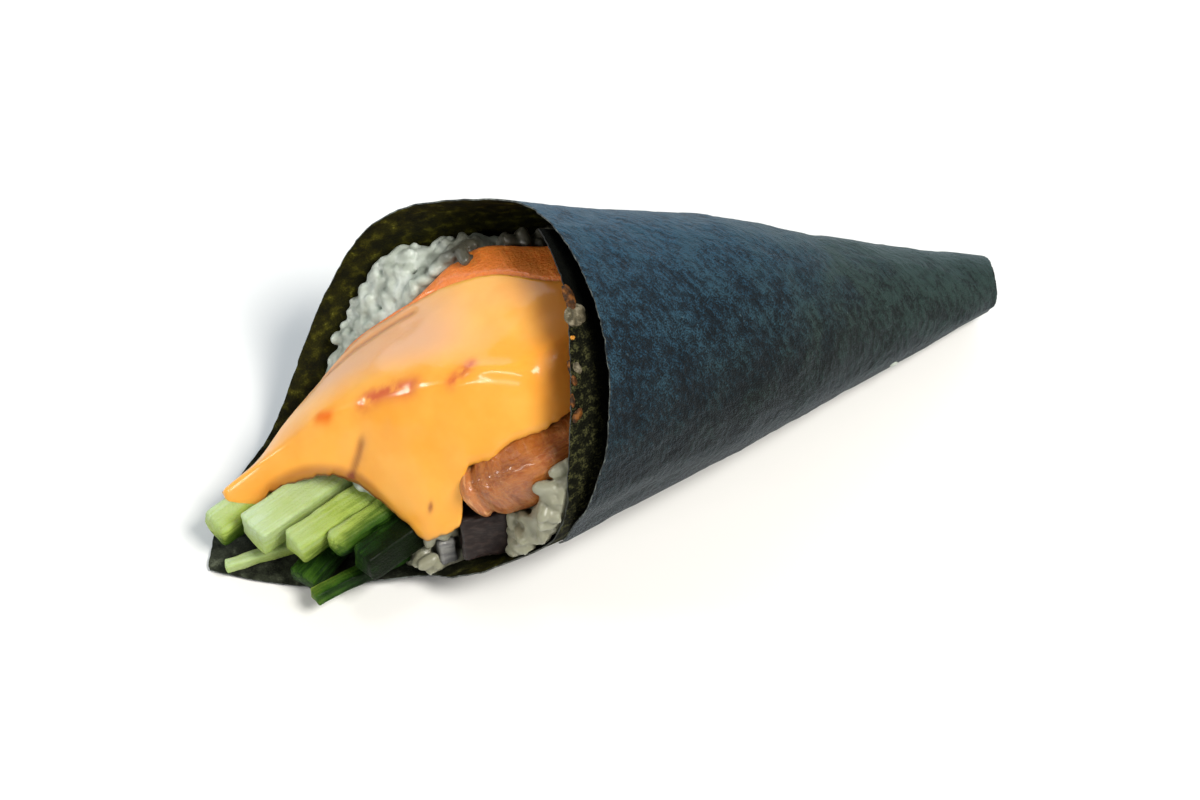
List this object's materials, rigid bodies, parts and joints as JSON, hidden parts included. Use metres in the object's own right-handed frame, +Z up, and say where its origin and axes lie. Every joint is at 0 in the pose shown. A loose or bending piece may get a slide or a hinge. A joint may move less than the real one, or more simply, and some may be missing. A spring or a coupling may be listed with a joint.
{
  "type": "temaki hand roll",
  "caption": "Cone-shaped temaki hand roll of rolled nori lying on its side, its open mouth filled with rice, salmon and cucumber sticks under a thick orange sauce.",
  "frame": {"origin": "On the floor plane, in the middle of the flat strip on which the lying cone rests.", "axes": "+X runs from the open mouth to the narrow tip, along the line on which the cone lies. +Z is up. +Y points to the far side, so the outer end of the nori sheet is on the -Y side."},
  "size_m": [0.169, 0.0713, 0.062],
  "materials": {
    "nori": "dark green-black dried seaweed, ribbed and mottled, with a faint bluish sheen",
    "rice": "moist cooked rice, translucent white",
    "sauce": "glossy orange mayonnaise sauce",
    "salmon": "moist orange salmon with pale marbling",
    "tuna": "moist dark purple-grey fish",
    "pale_fish": "moist pale grey fish",
    "cucumber": "wet pale green flesh",
    "cucumber_skin": "wet dark green skin"
  },
  "bodies": {
    "root": {"nori_wrap": "nori", "rice": "rice", "sauce": "sauce", "salmon_slice": "salmon", "salmon_chunk": "salmon", "tuna_block": "tuna", "pale_block": "pale_fish", "cucumber_far": "cucumber", "cucumber_pale": "cucumber", "cucumber_middle": "cucumber", "cucumber_round": "cucumber", "cucumber_sliver": "cucumber", "cucumber_thin": "cucumber", "cucumber_near": "cucumber_skin", "cucumber_skin": "cucumber_skin"}
  },
  "joints": []
}
